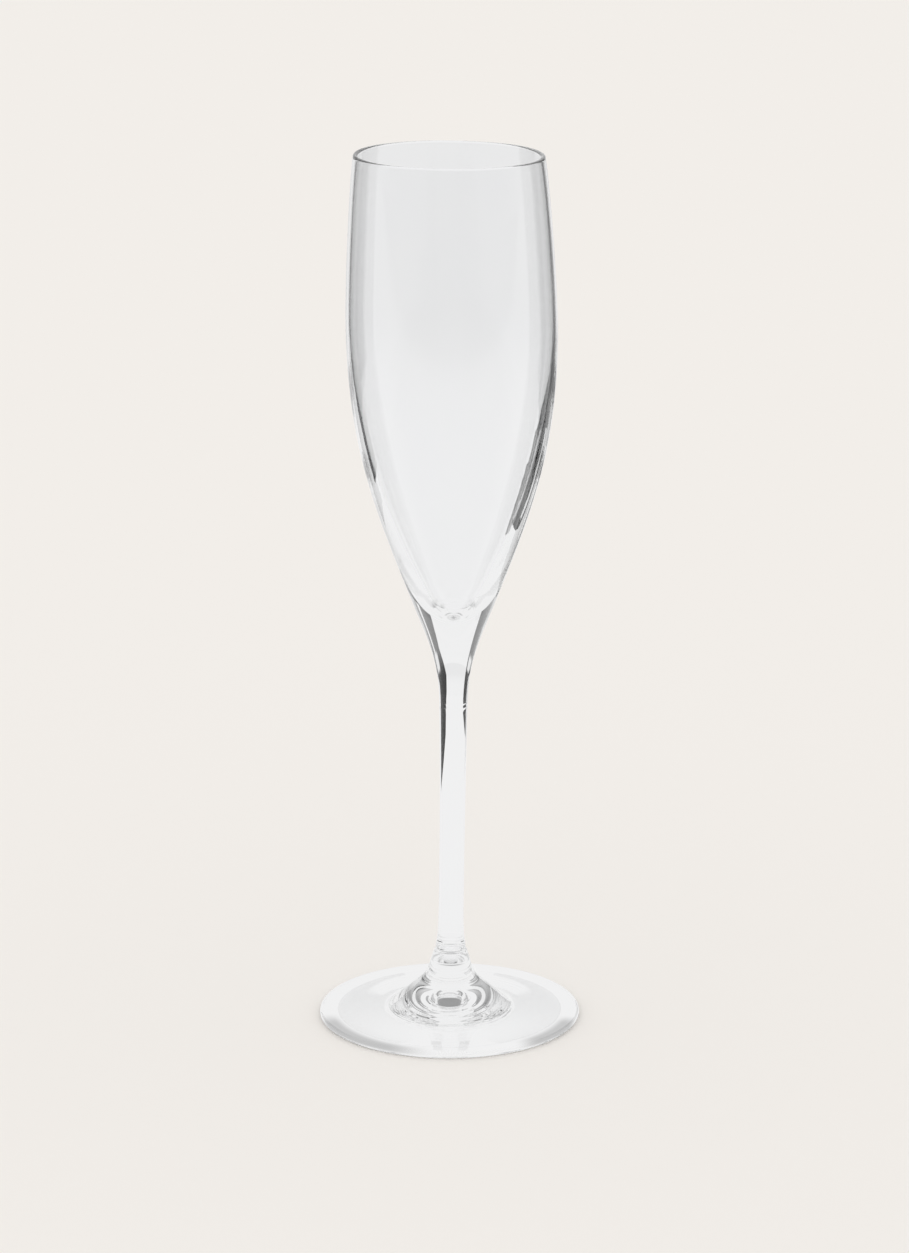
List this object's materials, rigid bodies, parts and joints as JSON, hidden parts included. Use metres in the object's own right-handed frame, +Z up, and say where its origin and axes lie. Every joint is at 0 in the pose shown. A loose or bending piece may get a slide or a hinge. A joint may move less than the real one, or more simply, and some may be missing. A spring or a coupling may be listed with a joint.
{
  "type": "champagne flute",
  "caption": "Tall stemmed glass for sparkling wine: a thin-walled, narrow tulip-shaped bowl on a slim solid stem and a flat round foot.",
  "frame": {"origin": "centre of the foot's underside, on the surface that the glass stands on", "axes": "+Z up along the glass's axis of revolution, from the foot to the open mouth; X and Y are alike"},
  "size_m": [0.072, 0.072, 0.24],
  "materials": {
    "bowl_glass": "clear colourless blown glass, fire-polished lip",
    "stem_glass": "clear colourless drawn solid glass",
    "foot_glass": "clear colourless pressed glass with faint concentric tool rings"
  },
  "bodies": {
    "root": {"bowl": "bowl_glass", "stem": "stem_glass", "foot": "foot_glass"}
  },
  "joints": []
}
